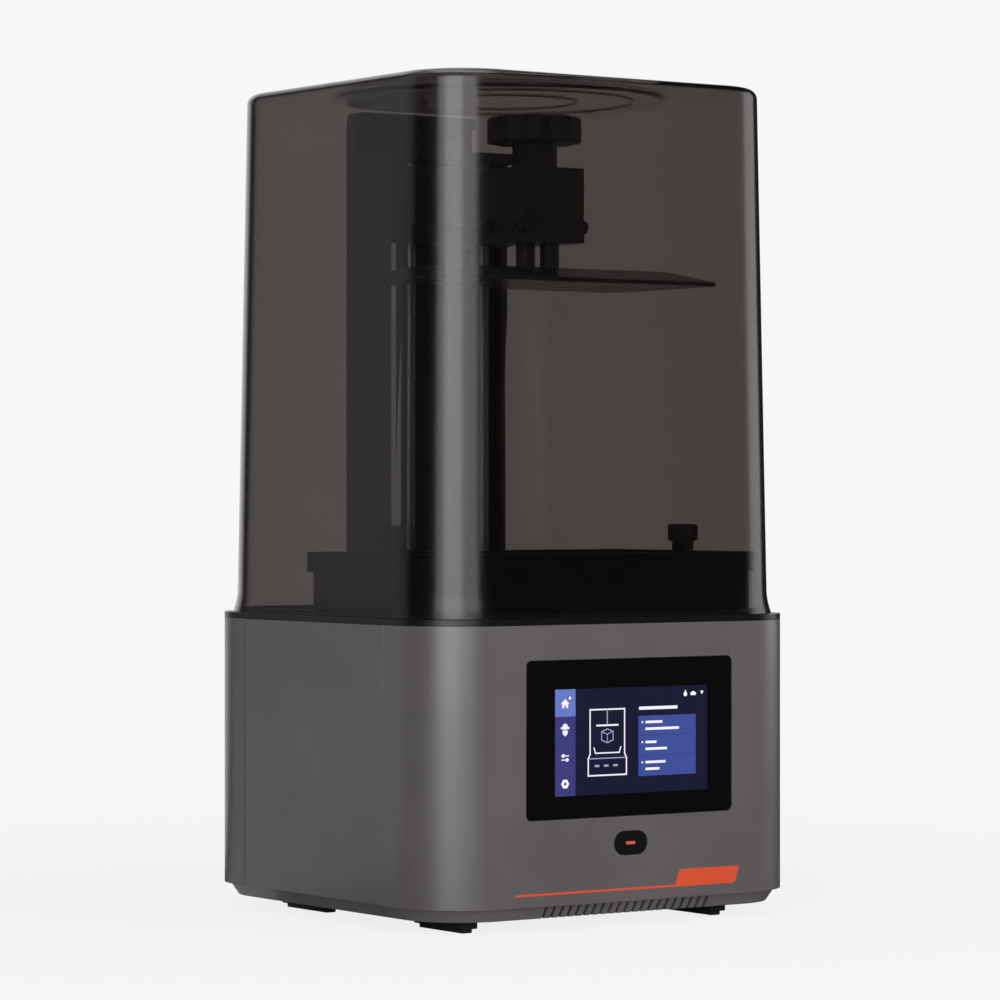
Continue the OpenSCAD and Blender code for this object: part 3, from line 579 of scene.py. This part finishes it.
@dataclass
class Lid:
    """The smoked lid: one clear moulding with a flared foot, round corners and a round recess on top.

    Sizes are in millimetres, and insets are from the base's sides.
    """

    half_width: float = 117.5
    half_depth: float = 115.0
    corner: float = 45.7
    corner_steps: int = 24
    wall: float = 2.5
    inset_foot: float = 2.4
    inset_flare: float = 4.7
    inset_top: float = 9.7
    flare: float = 12.0
    edge: float = 5.5
    inner_edge: float = 3.5
    recess: float = 86.3
    recess_depth: float = 2.5
    rings: tuple[float, ...] = (70.0, 40.0)
    ring_depth: float = 0.8

    def loop(self, inset: float, z: float) -> Array:
        """Plan outline at an inset and a height."""
        sizes = (size - inset for size in (self.half_width, self.half_depth, self.corner))
        return np.insert(round_loop(*sizes, self.corner_steps), 2, z, axis=1)

    def side(self, foot: float, top: float, wall: float, edge: float) -> Array:
        """Rows of a side's profile, from the foot up to the top.

        The flare is a quarter of a sine wave that eases into the leaning wall, which has a point
        close to each end, and the top edge is a circular arc.

        Args:
            foot, top: heights of its ends.
            wall: how far the profile is set inwards.
            edge: radius of the top edge.

        Returns:
            Array of (inset, z).
        """
        rise = np.linspace(0, 1, 9)
        flare_inset = self.inset_foot + (self.inset_flare - self.inset_foot) * np.sin(rise * np.pi / 2)
        flare = np.column_stack([flare_inset + wall, foot + rise * self.flare])
        start, end = np.array([self.inset_flare, foot + self.flare]), np.array([self.inset_top, top - edge])
        lean = np.array([start + share * (end - start) for share in (0.004, 0.996)]) + (wall, 0.0)
        turn = np.radians(np.linspace(0, 90, 13))
        crown = np.column_stack([self.inset_top + wall + edge * (1 - np.cos(turn)),
                                 top - edge + edge * np.sin(turn)])
        return np.concatenate([flare, lean, crown])

    def ring(self, radius: float, z: float) -> Array:
        """Circle on the lid's top whose points pair up with the outline's, as they share its angles."""
        turn = np.arctan2(*self.loop(self.inset_top + self.edge, z)[:, 1::-1].T)
        return np.column_stack([radius * np.cos(turn), radius * np.sin(turn), np.full(len(turn), z)])

    def cap_rows(self, top: float) -> list[Array]:
        """Rows from the top edge in to the middle: a round step into the recess, then shallow rings.

        Args:
            top: height of the flat around the recess.

        Returns:
            The rows, each a circle.
        """
        rim, floor, groove = self.recess, top - self.recess_depth, top - self.recess_depth - self.ring_depth
        steps = [(rim + 2.0, top), (rim + 0.7, top), (rim + 0.2, top - 0.2), (rim, top - 0.7),
                 (rim - 0.2, floor + 0.5), (rim - 0.9, floor), (rim - 2.5, floor)]
        for radius in self.rings:
            steps += [(radius + 1.8, floor), (radius + 0.9, floor), (radius + 0.5, groove),
                      (radius - 0.5, groove), (radius - 0.9, floor), (radius - 1.8, floor)]
        steps += [(30.0, floor), (12.0, floor), (0.3, floor)]
        return [self.ring(radius, z) for radius, z in steps]

    def build(self) -> None:
        """Makes the lid as one closed wall: outer face, inner face, and the foot's rim between them."""
        low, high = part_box("lid_cover")
        foot, top = low[2] / MM, high[2] / MM
        surface = Surface("smoked_lid")
        rim = []
        for wall, edge in ((0.0, self.edge), (self.wall, self.inner_edge)):
            face = [self.loop(inset, z) for inset, z in self.side(foot, top - wall, wall, edge)]
            face += self.cap_rows(top - wall)
            surface.ring_grid(np.stack(face) * MM)
            surface.polygon(face[-1] * MM)
            rim.append(face[0])
        surface.ring_grid(np.stack(rim) * MM)
        lid = surface.build([painted(Paint.SMOKED)], smooth_deg=50.0)
        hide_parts("lid_cover")
        place(lid, "lid", "smoked_clear")


@dataclass
class FrontPicture:
    """What the display shows: a side bar with icons, a line drawing, a card with bars, and marks.

    A place in the picture is a share of its width, from the left, and of its height, from the top.
    Its own sizes are in millimetres. A higher layer lies in front of a lower one.
    """

    left: float = -47.0
    right: float = 48.9
    bottom: float = 67.6
    top: float = 121.0
    proud: float = 0.03
    surface: Surface = field(default_factory=lambda: Surface("display_picture"))

    def aspect(self) -> float:
        """Width over height."""
        return (self.right - self.left) / (self.top - self.bottom)

    def patch(self, outline: Sequence[Point] | Array, ink: Ink = Ink.WHITE, layer: int = 3) -> None:
        """Adds one flat patch that faces the front.

        The sign of the outline's area, the sum of the cross products of its neighbouring corners,
        says which way round it runs.

        Args:
            outline: places of its corners.
            ink: its colour.
            layer: how far in front it lies.
        """
        flat = np.array(outline, dtype=float)
        after = np.roll(flat, -1, axis=0)
        area = np.sum(flat[:, 0] * after[:, 1] - after[:, 0] * flat[:, 1])
        if area > 0:
            flat = flat[::-1]
        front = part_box("screen_glass")[0][1] / MM - self.proud * (1 + layer)
        x = self.left + flat[:, 0] * (self.right - self.left)
        z = self.top - flat[:, 1] * (self.top - self.bottom)
        self.surface.polygon(np.column_stack([x, np.full(len(x), front), z]) * MM, list(Ink).index(ink))

    def bar(self, u0: float, v0: float, u1: float, v1: float, ink: Ink = Ink.WHITE, layer: int = 3) -> None:
        """Adds a rectangle between two places."""
        self.patch([(u0, v0), (u1, v0), (u1, v1), (u0, v1)], ink, layer)

    def disc(self, u: float, v: float, radius: float, ink: Ink = Ink.WHITE, layer: int = 3,
             sides: int = 20) -> None:
        """Adds a round patch.

        Args:
            u, v: its middle.
            radius: a share of the picture's width.
            ink: its colour.
            layer: how far in front it lies.
            sides: its number of corners.
        """
        turn = np.linspace(0, 2 * np.pi, sides, endpoint=False)
        edge = [u + radius * np.cos(turn), v + radius * self.aspect() * np.sin(turn)]
        self.patch(np.stack(edge, axis=1), ink, layer)

    def stroke(self, points: Sequence[Point], width: float, ink: Ink) -> None:
        """Adds a line of even width, one quad a stretch, overlapping at the corners.

        Args:
            points: its corners.
            width: a share of the picture's height.
            ink: its colour.
        """
        scale = [self.aspect(), 1.0]
        line = np.array(points, dtype=float) * scale
        for start, end in zip(line[:-1], line[1:]):
            along = (end - start) / np.linalg.norm(end - start)
            across = np.array([-along[1], along[0]]) * width / 2
            start, end = start - along * width / 2, end + along * width / 2
            self.patch(np.array([start + across, end + across, end - across, start - across]) / scale, ink)

    def build(self) -> None:
        """Makes the picture as thin patches on the glass."""
        self.bar(0.0, 0.0, 1.0, 1.0, Ink.NAVY, 0)
        self.bar(0.0, 0.0, 0.131, 1.0, Ink.INDIGO, 1)
        self.bar(0.0, 0.0, 0.131, 0.255, Ink.BLUE, 2)
        self.icons()
        self.drawing()
        self.card()
        self.status()
        picture = self.surface.build([painted(ink) for ink in Ink], merge=1e-9, closed=False)
        place(picture, "base", "display")

    def icons(self) -> None:
        """Adds the four side-bar icons: a house, a badge, two sliders and a cog."""
        u = 0.064
        self.patch([(u - .028, .135), (u, .09), (u + .028, .135)])
        self.bar(u - .019, .13, u + .019, .175)
        self.bar(u - .006, .15, u + .006, .175, Ink.BLUE, 4)
        self.disc(u + .031, .083, .008)
        self.bar(u - .027, .352, u + .027, .372)
        self.disc(u, .35, .017)
        self.patch([(u - .018, .385), (u + .018, .385), (u + .014, .42), (u, .44), (u - .014, .42)])
        for v, knob in ((.622, -.012), (.66, .012)):
            self.bar(u - .025, v - .005, u + .025, v + .005)
            self.disc(u + knob, v, .01, layer=4)
        self.disc(u, .885, .026, sides=6)
        self.disc(u, .885, .008, Ink.INDIGO, 4)

    def drawing(self) -> None:
        """Adds a generic line drawing: an upright case with a plate, a cube being built and a tank."""
        strokes = [
            ([(.225, .2), (.45, .2), (.45, .62), (.462, .66), (.462, .82), (.213, .82), (.213, .66),
              (.225, .62), (.225, .2)], .014, Ink.WHITE),
            ([(.213, .66), (.462, .66)], .01, Ink.LAVENDER),
            ([(.337, .2), (.337, .34)], .012, Ink.LAVENDER),
            ([(.27, .35), (.405, .35)], .016, Ink.WHITE),
            ([(.3, .41), (.337, .385), (.375, .41), (.375, .49), (.337, .515), (.3, .49), (.3, .41)], .01,
             Ink.LAVENDER),
            ([(.3, .41), (.337, .435), (.375, .41)], .008, Ink.LAVENDER),
            ([(.337, .435), (.337, .515)], .008, Ink.LAVENDER),
            ([(.25, .56), (.26, .61), (.415, .61), (.425, .56)], .012, Ink.WHITE),
        ]
        for points, width, ink in strokes:
            self.stroke(points, width, ink)
        for u in (.255, .315, .375):
            self.bar(u, .72, u + .03, .74, Ink.LAVENDER)

    def card(self) -> None:
        """Adds the card with three entries, each a dot and two bars, under a heading bar."""
        self.bar(.545, .187, .80, .217)
        self.bar(.541, .275, .922, .845, Ink.CARD, 2)
        for k, (upper, lower) in enumerate(((.70, .81), (.66, .73), (.72, .68))):
            v = .335 + .19 * k
            self.disc(.567, v, .0055)
            self.bar(.587, v - .012, upper, v + .012)
            self.bar(.587, v + .052, lower, v + .076)
            if k:
                self.bar(.545, v - .068, .918, v - .063, Ink.CARD_LINE)

    def status(self) -> None:
        """Adds three small marks at the top right."""
        self.disc(.853, .082, .012)
        self.bar(.849, .045, .857, .075)
        self.disc(.905, .075, .011)
        self.disc(.915, .08, .009, layer=4)
        self.disc(.895, .08, .009, layer=4)
        self.patch([(.952, .055), (.975, .055), (.9635, .09)])


# ---- Turned pieces ----


def lobed(angle: Array) -> Array:
    """How deep the clamp knob's rim is cut between its eight lobes: a power of a clipped cosine."""
    return (np.clip(-np.cos(8 * (angle - math.radians(10.0))), -0.35, 1.0) + 0.35) ** 1.2


def knurled(angle: Array) -> Array:
    """How deep a thumbscrew's rim is cut by its thirty ripples: a triangle wave."""
    return np.abs(((angle * 30 / (2 * np.pi)) % 1.0) * 2 - 1)


@dataclass(frozen=True)
class Grip:
    """A moulded hand grip: a turned profile with waves cut into its rim. Sizes are in millimetres.

    A corner of the profile is a radius, a depth under the top and a rounding. The rim lies beyond a
    radius and between two depths. The stud reaches down to the foot of the CAD node.
    """

    node: str
    name: str
    body: str
    corners: Sequence[tuple[float, float, float]]
    stud: float
    chords: int
    columns: int
    wave: Callable[[Array], Array]
    cut: float
    rim: tuple[float, float, float]

    def build(self) -> None:
        """Makes the grip."""
        low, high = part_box(self.node)
        foot, top = low[2] / MM, high[2] / MM
        corners = [(radius, top - depth, rounding) for radius, depth, rounding in self.corners]
        corners += [(self.stud, corners[-1][1], 0), (self.stud, foot, 0), (0.01, foot, 0)]
        beyond, upper, lower = self.rim

        def waves(angle: Array, radius: Array, z: Array) -> Array:
            """Factor on the radius: the waves on the rim, and 1 elsewhere."""
            on_rim = (radius > beyond * MM) & (z < (top - upper) * MM) & (z > (top - lower) * MM)
            return 1.0 - self.cut * self.wave(angle) * on_rim
        surface = Surface(self.name)
        profile = rounded_profile(corners, self.chords) * MM
        surface.ring_grid(turned(profile, self.columns, self.node, waves))
        made = surface.build([painted(Paint.MOULDED)], smooth_deg=40.0, merge=5e-5)
        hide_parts(self.node)
        place(made, self.body, "black_plastic")


KNOB_RIM = 24.3714
KNOB_CORNERS = [(0.01, 0, 0), (13, 0, 1), (14, 0.4, 0.5), (KNOB_RIM - 2, 0.4, 1), (KNOB_RIM, 1.6, 1.2),
                (KNOB_RIM, 13.4, 1), (KNOB_RIM - 1.2, 14.4, 1), (11.7, 14.4, 1), (11.7, 27.1, 0.3)]
SCREW_CORNERS = [(0.01, 0.6, 0), (5, 0.6, 0.3), (5.6, 0, 0.4), (7.2, 0, 0.8), (8, 0.9, 0.6), (8, 8.2, 0.6),
                 (7.2, 9, 0.8), (5.8, 9, 0.4), (5.8, 13.8, 0.3)]
CLAMP_KNOB = Grip("clamp_knob", "lobed_clamp_knob", "clamp_knob", KNOB_CORNERS, 4.0, 4, 192, lobed, 0.0629,
                  (14.1, 0.3, 14.9))
THUMBSCREWS = [Grip(f"vat_thumbscrew_{side}", f"thumbscrew_{side}_knurled", f"thumbscrew_{side}",
                    SCREW_CORNERS, 2.0, 3, 180, knurled, 0.06, (7.15, 0.5, 8.6))
               for side in ("left", "right")]


@dataclass
class LeadScrew:
    """The lead screw: a two-start trapezoid thread on a bar with plain ends. Sizes are in metres.

    The thread's phase is the height over the pitch less the starts times the turn. The thread is
    high in the middle of a phase, and it fades out over one pitch at both ends.
    """

    journal: float = 0.0025
    shoulder: float = 0.141
    bar: float = 0.004
    root: float = 0.0031
    depth: float = 0.00088
    thread_foot: float = 0.170
    end: float = 0.0036
    end_length: float = 0.004
    chamfer: float = 0.0003
    pitch: float = 0.002
    starts: int = 2
    rows_per_pitch: int = 8
    columns: int = 20

    def build(self) -> None:
        """Makes the screw from three turned stretches: the thread, the foot and the top end."""
        low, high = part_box("lead_screw")
        start, end = self.thread_foot, high[2] - self.end_length

        def threaded(angle: Array, radius: Array, z: Array) -> Array:
            """The thread's height over the root, as a factor on the root's radius.

            Args:
                angle, radius, z: the grid's places.

            Returns:
                The factor at each place.
            """
            phase = (z / self.pitch - angle / (2 * np.pi) * self.starts) % 1.0
            crest = np.clip(np.minimum(phase, 1 - phase) * 4 - 0.5, 0.0, 1.0)
            fade = np.clip(np.minimum(z - start, end - z) / self.pitch, 0.0, 1.0)
            return 1.0 + self.depth * crest * fade / radius
        rows = int((end - start) / self.pitch * self.rows_per_pitch)
        thread = np.column_stack([np.full(rows, self.root), np.linspace(start, end, rows)])
        foot = np.array([(0.0, low[2]), (self.journal, low[2]), (self.journal, self.shoulder),
                         (self.bar, self.shoulder), (self.bar, start), (self.root, start)])
        head = np.array([(self.root, end), (self.end, end), (self.end, high[2] - self.chamfer),
                         (self.end - self.chamfer, high[2]), (0.0, high[2])])
        surface = Surface("lead_screw_thread")
        for profile, wave in ((thread, threaded), (foot, None), (head, None)):
            surface.ring_grid(turned(profile, self.columns, "lead_screw", wave))
        made = surface.build([painted(Paint.ROD_STEEL)], smooth_deg=45.0)
        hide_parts("lead_screw")
        place(made, "lead_screw", "steel")


# ---- Pieces that keep the CAD shape ----


@dataclass(frozen=True)
class Copied:
    """A CAD node that keeps its shape and only gets a finish and edges rounded, in millimetres."""

    node: str
    bevel: float
    paint: Paint = Paint.ANODISED
    slot: str = "anodised"
    body: str = "base"
    segments: int = 2

    def build(self) -> None:
        """Copies the node's mesh, merges it and rounds its edges, and lets the copy stand for the node."""
        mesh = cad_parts[self.node].data.copy()
        mesh.name = self.node + "_finished"
        imported_normals = mesh.attributes.get("custom_normal")
        if imported_normals is not None:
            mesh.attributes.remove(imported_normals)
        mesh.materials.clear()
        mesh.materials.append(painted(self.paint))
        work = bmesh.new()
        work.from_mesh(mesh)
        bmesh.ops.remove_doubles(work, verts=work.verts, dist=2e-6)
        bmesh.ops.dissolve_limit(work, angle_limit=math.radians(0.4), verts=work.verts, edges=work.edges)
        for face in work.faces:
            face.material_index = 0
        work.to_mesh(mesh)
        work.free()
        made = link_smooth(mesh, smooth_deg=32.0)
        if self.bevel > 0:
            modifier = made.modifiers.new("edges", "BEVEL")
            modifier.width = self.bevel * MM
            modifier.segments = self.segments
            modifier.limit_method = "ANGLE"
            modifier.angle_limit = math.radians(38.0)
            modifier.harden_normals = True
        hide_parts(self.node)
        place(made, self.body, self.slot)


COPIES = [
    Copied("front_cover", 0.35, Paint.GREY, "grey_paint"),
    Copied("rear_cover", 0.3, Paint.GREY, "grey_paint"),
    Copied("side_panel_left", 0.3, Paint.GREY, "grey_paint"),
    Copied("side_panel_right", 0.3, Paint.GREY, "grey_paint"),
    Copied("bottom_tray", 0.25, Paint.TRAY_PAINTED_LIGHTER, "tray_paint"),
    Copied("rubber_feet", 0.5, Paint.RUBBER, "rubber"),
    Copied("deck_plate", 0.4, Paint.DECK, "black_paint"),
    Copied("screen_glass", 0.3, Paint.GLASS_BLACK, "screen_glass"),
    Copied("accent_stripe", 0.0, Paint.ORANGE, "orange_print"),
    Copied("power_button", 0.3, Paint.BUTTON, "black_plastic", body="power_button"),
    Copied("vat_frame", 0.6, Paint.VAT, segments=3),
    Copied("column_housing", 0.6, Paint.DECK, "black_paint"),
    Copied("column_cap", 0.5, Paint.MOULDED, "black_plastic"),
    Copied("guide_side_plates", 0.35, Paint.PLATE),
    Copied("top_bearing_plate", 0.4),
    Copied("bottom_bearing_block", 0.4),
    Copied("carriage_block", 0.5, body="carriage"),
    Copied("platform_arm", 0.6, body="carriage"),
    Copied("clamp_block", 0.6, body="carriage"),
    Copied("platform_head", 0.4, body="carriage"),
    Copied("build_plate", 0.4, Paint.GROUND, body="carriage"),
]

PLAIN = {
    Paint.STEEL: ["chassis_pillars", "deck_screws", "display_bracket", "usb_port", "light_hood",
                  "film_clamp_ring", "film_screws", "screw_bearings", "motor_bracket", "guide_bushings"],
    Paint.ROD_STEEL: ["guide_rods"],
    Paint.ALUMINIUM: ["heatsink", "shaft_coupler"],
    Paint.BRASS: ["board_standoffs"],
    Paint.CIRCUIT: ["display_board", "button_board", "mainboard", "usb_board", "led_board"],
    Paint.MOULDED: ["display_panel", "button_switch", "dc_inlet", "fan_frame", "fan_rotor", "z_motor",
                    "z_limit_sensor", "lead_nut", "column_screws"],
    Paint.LED: ["led_array"],
    Paint.LCD: ["exposure_lcd", "lcd_cover_glass"],
    Paint.CLEAR: ["fresnel_lens", "vat_film"],
    Paint.BUTTON_GLOW: ["button_light"],
}


def dress_nodes() -> None:
    """Dresses copies of the outer CAD nodes, and paints the nodes that keep their own mesh."""
    for item in COPIES:
        item.build()
    for paint, names in PLAIN.items():
        for name in names:
            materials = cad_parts[name].data.materials
            materials.clear()
            materials.append(painted(paint))


# ---- Studio ----


@dataclass(frozen=True)
class Softbox:
    """A rectangular light that faces the machine, and whether gloss mirrors it. Sizes are in metres."""

    name: str
    azimuth_deg: float
    elevation_deg: float
    distance: float
    width: float
    height: float
    radiance: float
    in_gloss: bool = True
    aim_z: float = 0.22

    def build(self) -> None:
        """Makes the area light; its power is radiance times area times pi."""
        data = bpy.data.lights.new(self.name, "AREA")
        data.shape = "RECTANGLE"
        data.size = self.width
        data.size_y = self.height
        data.energy = self.radiance * self.width * self.height * math.pi
        made = bpy.data.objects.new(self.name, data)
        azimuth, elevation = math.radians(self.azimuth_deg), math.radians(self.elevation_deg)
        flat, rise = self.distance * math.cos(elevation), self.distance * math.sin(elevation)
        made.location = (flat * math.sin(azimuth), -flat * math.cos(azimuth), self.aim_z + rise)
        made.rotation_euler = (math.pi / 2 - elevation, 0.0, azimuth)
        made.visible_camera = False
        made.visible_glossy = self.in_gloss
        made.visible_transmission = self.in_gloss
        bpy.context.scene.collection.objects.link(made)


@dataclass(frozen=True)
class Wall:
    """A pale wall that gloss sees, full within one angle of a turn from +X and gone beyond another."""

    turn_deg: float
    full_deg: float
    end_deg: float
    level: float


@dataclass
class Studio:
    """Camera, world, floor and lights. Lengths are in metres, and brightness is linear."""

    azimuth_deg: float = -35.0
    distance: float = 2.178
    eye: float = 0.219
    focal_px: float = 4126.0
    image_px: float = 1000.0
    centre_px: Point = (500.2, 493.2)
    sensor: float = 36.0
    backdrop: float = 0.93
    walls: tuple[Wall, ...] = (Wall(72.0, 22.0, 31.0, 0.9), Wall(135.0, 12.0, 20.0, 0.32))
    dark: float = 0.012
    wall_mirror: float = 0.08
    fill: float = 0.32
    floor_half: float = 8.0
    floor_level: float = 0.8
    shadow_reach: tuple[float, float] = (0.3, 0.9)
    shadow_share: float = 0.12
    shadow_lift: float = 1.02

    def camera(self) -> None:
        """A level camera that faces the machine's front left corner."""
        data = bpy.data.cameras.new("camera")
        data.sensor_width = self.sensor
        data.lens = self.focal_px * self.sensor / self.image_px
        data.shift_x = (self.image_px / 2 - self.centre_px[0]) / self.image_px
        data.shift_y = (self.centre_px[1] - self.image_px / 2) / self.image_px
        data.clip_end = 60.0
        made = bpy.data.objects.new("camera", data)
        turn = math.radians(self.azimuth_deg)
        made.location = (self.distance * math.sin(turn), -self.distance * math.cos(turn), self.eye)
        made.rotation_euler = (math.pi / 2, 0.0, turn)
        bpy.context.scene.collection.objects.link(made)
        bpy.context.scene.camera = made

    def gloss_level(self, sketch: Sketch, direction: Socket) -> Socket:
        """How bright gloss sees a direction: the pale walls on a dark ground.

        A wall's brightness follows the dot product of the direction, laid level, and the wall's own.

        Args:
            sketch: the tree to work in.
            direction: the direction.

        Returns:
            The brightness.
        """
        flat = sketch.vector("NORMALIZE", sketch.vector("MULTIPLY", direction, (1.0, 1.0, 0.0))[0])[0]
        level: Socket | float = self.dark
        for wall in self.walls:
            turn, full, end = (math.radians(angle) for angle in (wall.turn_deg, wall.full_deg, wall.end_deg))
            facing = sketch.vector("DOT_PRODUCT", flat, (math.cos(turn), math.sin(turn), 0.0))["Value"]
            shine = sketch.remap(facing, math.cos(end), math.cos(full), 0.0, wall.level)
            level = sketch.math("ADD", shine, level)
        return level

    def seen(self, sketch: Sketch, path: Sockets) -> Socket:
        """1 for rays from the camera, straight or through clear pieces."""
        return sketch.math("MAXIMUM", path["Is Camera Ray"], path["Is Transmission Ray"])

    def bounced_share(self, sketch: Sketch, path: Sockets) -> Socket:
        """1 for the backdrop as it is, less where the clear wall itself mirrors it."""
        mirrors = sketch.product(sketch.math("GREATER_THAN", path["Glossy Depth"], 0.5),
                                 sketch.math("LESS_THAN", path["Transmission Depth"], 2.5))
        return sketch.remap(mirrors, 0.0, 1.0, 1.0, self.wall_mirror)

    def world(self) -> None:
        """Surroundings: the backdrop for seen rays, walls for gloss, and an even fill for all others."""
        world = bpy.data.worlds.new("studio")
        bpy.context.scene.world = world
        world.use_nodes = True
        world.node_tree.nodes.clear()
        sketch = Sketch(world.node_tree)
        path = sketch.add("ShaderNodeLightPath").outputs
        gloss = self.gloss_level(sketch, sketch.place("Generated"))
        base = sketch.mix_colour(path["Is Glossy Ray"], grey(self.fill), gloss)
        behind = sketch.product(self.bounced_share(sketch, path), self.backdrop)
        colour = sketch.mix_colour(self.seen(sketch, path), base, behind)
        shade = sketch.add("ShaderNodeBackground", {"Color": colour, "Strength": 1.0}).outputs[0]
        sketch.add("ShaderNodeOutputWorld", {"Surface": shade})

    def floor(self) -> None:
        """A wide pale floor that keeps the machine's soft shadow.

        For seen rays it glows like the backdrop, and near the machine a share of it is lit instead,
        to show the shadow. Gloss sees it as it sees the walls. Both follow the place on the floor.
        """
        surface = Surface("floor")
        corners = [(-1, -1, 0), (1, -1, 0), (1, 1, 0), (-1, 1, 0)]
        surface.polygon(np.array(corners, dtype=float) * self.floor_half)
        material, sketch, shader = start_material("pale_floor", (self.floor_level,) * 3)
        sketch.feed(shader, {"Base Color": grey(self.floor_level), "Roughness": 1.0,
                             "Specular IOR Level": 0.0})
        path, spot = sketch.add("ShaderNodeLightPath").outputs, sketch.place()
        away = sketch.vector("LENGTH", spot)["Value"]
        share = sketch.remap(away, *self.shadow_reach, 1.0 - self.shadow_share, 1.0)
        lift = sketch.remap(away, *self.shadow_reach, self.backdrop * self.shadow_lift, self.backdrop)
        seen = self.seen(sketch, path)
        mirrored = sketch.math("SUBTRACT", path["Is Glossy Ray"], seen)
        pale = sketch.mix_colour(mirrored, sketch.product(lift, self.bounced_share(sketch, path)),
                                 self.gloss_level(sketch, spot))
        glow = sketch.add("ShaderNodeEmission", {"Color": pale, "Strength": 1.0}).outputs[0]
        glowing = sketch.math("MAXIMUM", sketch.product(seen, share), mirrored)
        mix = sketch.add("ShaderNodeMixShader", {0: glowing, 1: shader.outputs[0], 2: glow}).outputs[0]
        sketch.feed(material.node_tree.nodes["Material Output"], {"Surface": mix})
        made = surface.build([material], closed=False)

    def lights(self) -> None:
        """A softbox round the camera that is brightest at its left, a strip, a front fill and a top light."""
        Softbox("key_softbox", -42.0, 12.0, 2.7, 3.1, 1.8, 2.2).build()
        Softbox("key_middle", -48.0, 12.0, 2.6, 1.2, 1.8, 2.2).build()
        Softbox("front_fill", 32.0, 8.0, 2.5, 1.8, 1.8, 4.0, in_gloss=False).build()
        Softbox("side_softbox", 82.0, 8.0, 2.2, 1.2, 1.9, 1.15).build()
        Softbox("top_softbox", -35.0, 82.0, 1.8, 1.6, 1.6, 1.0).build()

    def build(self) -> None:
        """Makes the whole studio."""
        self.camera()
        self.world()
        self.floor()
        self.lights()
        bpy.context.scene.view_settings.view_transform = "Standard"


def main() -> None:
    """Builds the studio and dresses each sub-assembly in turn."""
    logging.basicConfig(level=logging.INFO, format="%(message)s")
    Studio().build()
    grain_group()
    brushed_group()
    handling_group()
    Lid().build()
    FrontPicture().build()
    CLAMP_KNOB.build()
    LeadScrew().build()
    for thumbscrew in THUMBSCREWS:
        thumbscrew.build()
    dress_nodes()


if __name__ == "__main__":
    main()
